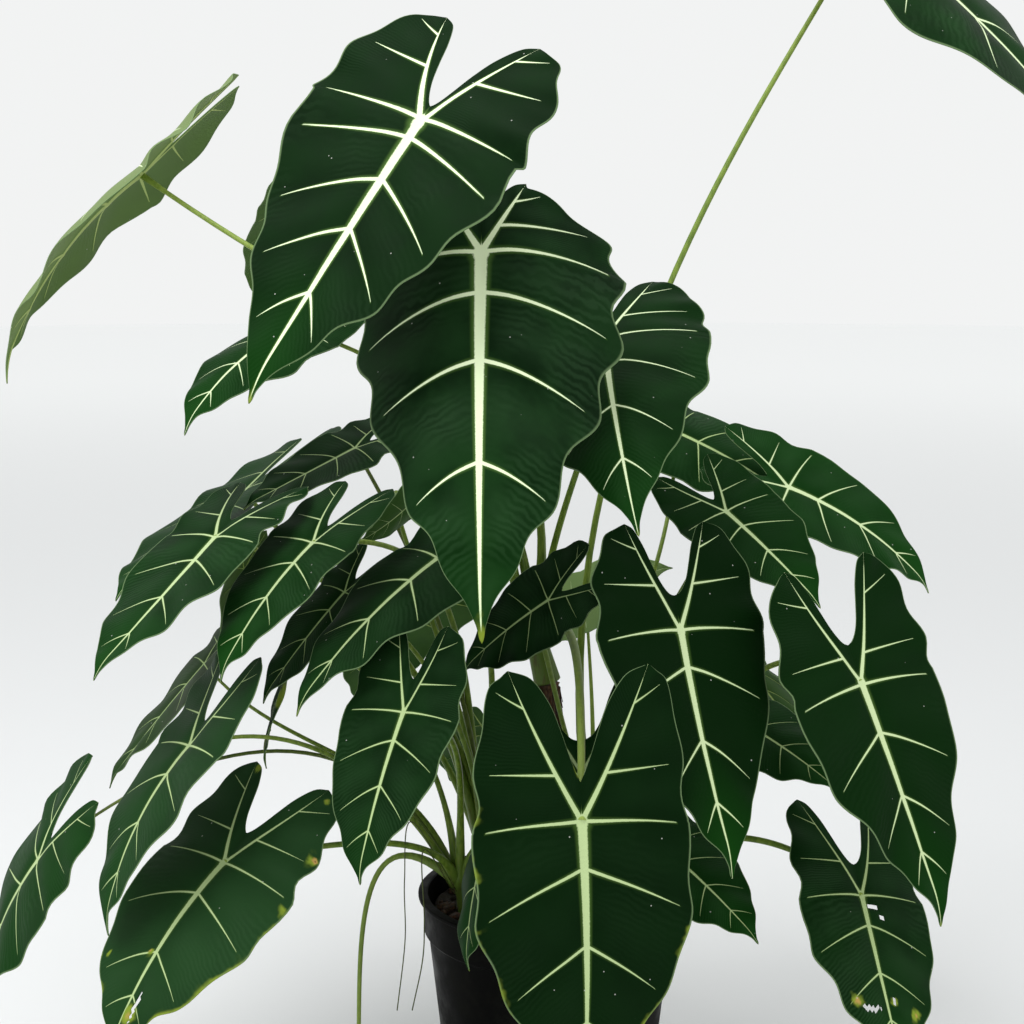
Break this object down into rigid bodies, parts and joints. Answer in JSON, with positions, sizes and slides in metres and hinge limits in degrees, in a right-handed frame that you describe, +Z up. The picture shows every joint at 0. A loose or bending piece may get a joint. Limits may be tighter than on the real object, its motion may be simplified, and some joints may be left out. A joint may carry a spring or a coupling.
{
  "type": "potted frydek alocasia",
  "caption": "Many-crowned clump of an arrow-leaved aroid with velvety dark green, white-veined hanging leaves, standing in a round black nursery pot.",
  "frame": {"origin": "centre of the pot's flat underside, on the surface it stands on", "axes": "+Z up, -Y towards the side that the picture shows, +X to that side's right"},
  "size_m": [1.0504, 0.6161, 1.2507],
  "materials": {
    "pot_plastic": "dull, dusty moulded black",
    "potting_mix": "coarse bark, loam and clay grit, damp",
    "bark": "dry, fibrous, ringed",
    "stalk": "smooth satin, pale olive green",
    "blade": "velvety dark green with raised cream veins"
  },
  "bodies": {
    "root": {"pot": "pot_plastic", "soil": "potting_mix", "main_stem": "bark", "crown_left_high": "stalk", "crown_left_low": "stalk", "crown_main": "stalk", "crown_right_high": "stalk", "crown_right_low": "stalk", "leaf_back_1": "blade", "leaf_back_2": "blade", "leaf_back_3": "blade", "leaf_back_4": "blade", "leaf_left_1": "blade", "leaf_left_2": "blade", "leaf_left_3": "blade", "leaf_left_4": "blade", "leaf_left_5": "blade", "leaf_left_6": "blade", "leaf_left_7": "blade", "leaf_left_8": "blade", "leaf_left_9": "blade", "leaf_left_10": "blade", "leaf_left_11": "blade", "leaf_left_12": "blade", "leaf_left_13": "blade", "leaf_left_14": "blade", "leaf_left_15": "blade", "leaf_left_16": "blade", "leaf_main_1": "blade", "leaf_main_2": "blade", "leaf_main_3": "blade", "leaf_main_4": "blade", "leaf_main_5": "blade", "leaf_main_6": "blade", "leaf_main_7": "blade", "leaf_main_8": "blade", "leaf_main_9": "blade", "leaf_right_1": "blade", "leaf_right_2": "blade", "leaf_right_3": "blade", "leaf_right_4": "blade", "leaf_right_5": "blade", "leaf_right_6": "blade", "leaf_right_7": "blade", "leaf_right_8": "blade", "leaf_right_9": "blade"}
  },
  "joints": []
}
